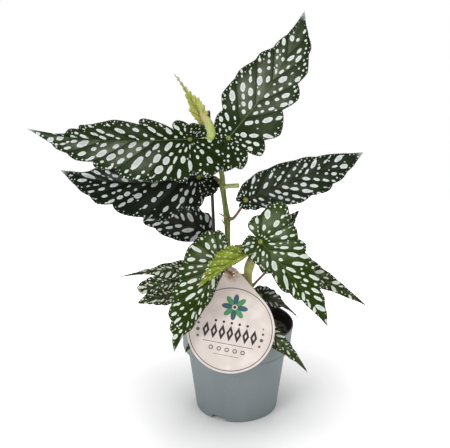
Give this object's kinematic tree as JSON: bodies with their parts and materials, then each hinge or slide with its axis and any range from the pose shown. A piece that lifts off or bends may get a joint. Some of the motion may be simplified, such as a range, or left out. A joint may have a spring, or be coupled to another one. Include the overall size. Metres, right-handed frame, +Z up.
{
  "type": "potted polka dot begonia",
  "caption": "Young angel-wing begonia with silver-spotted pointed leaves on upright stems, with a thin stake, in a tapered nursery pot with a round hang tag.",
  "frame": {"origin": "centre of the pot's base, on the surface that it stands on", "axes": "+Z up; -Y is the plant's best side; +X is to the right seen from that side"},
  "size_m": [0.3243, 0.1401, 0.417],
  "materials": {
    "pot_plastic": "matt moulded grey-blue plastic",
    "soil": "damp peat mix with pale fibres and perlite",
    "tag_card": "coated card with a slight sheen",
    "stake_plastic": "black plastic rod",
    "green_stem": "smooth green stem with pale flecks",
    "red_stalk": "smooth red-brown leaf stalk",
    "dry_scale": "dry brown scale",
    "leaf_blade": "dark green blade with silver-white spots and a red-brown underside"
  },
  "bodies": {
    "root": {"pot": "pot_plastic", "soil": "soil", "hang_tag": "tag_card", "support_stake": "stake_plastic", "main_stem": "green_stem", "side_shoot": "green_stem", "bud_sheath": "green_stem", "cut_stalk": "green_stem", "stipule_upper": "dry_scale", "stipule_lower": "dry_scale", "leaf_top_right": "leaf_blade", "leaf_upper_left": "leaf_blade", "leaf_middle_left": "leaf_blade", "leaf_dark_left": "leaf_blade", "leaf_right": "leaf_blade", "leaf_front_right": "leaf_blade", "leaf_front_left": "leaf_blade", "leaf_young": "leaf_blade", "leaf_bud": "leaf_blade", "leaf_back_left_high": "leaf_blade", "leaf_back_left_mid": "leaf_blade", "leaf_back_left_low": "leaf_blade", "leaf_far_right": "leaf_blade", "leaf_small_dark": "leaf_blade", "leaf_over_rim": "leaf_blade", "leaf_left_rim": "leaf_blade", "leaf_behind_right": "leaf_blade", "stalk_top_right": "red_stalk", "stalk_upper_left": "red_stalk", "stalk_middle_left": "red_stalk", "stalk_dark_left": "red_stalk", "stalk_right": "red_stalk", "stalk_front_right": "red_stalk", "stalk_front_left": "red_stalk", "stalk_young": "red_stalk", "stalk_back_left_high": "red_stalk", "stalk_back_left_mid": "red_stalk", "stalk_back_left_low": "red_stalk", "stalk_far_right": "red_stalk", "stalk_small_dark": "red_stalk", "stalk_over_rim": "red_stalk", "stalk_left_rim": "red_stalk", "stalk_behind_right": "red_stalk"}
  },
  "joints": []
}
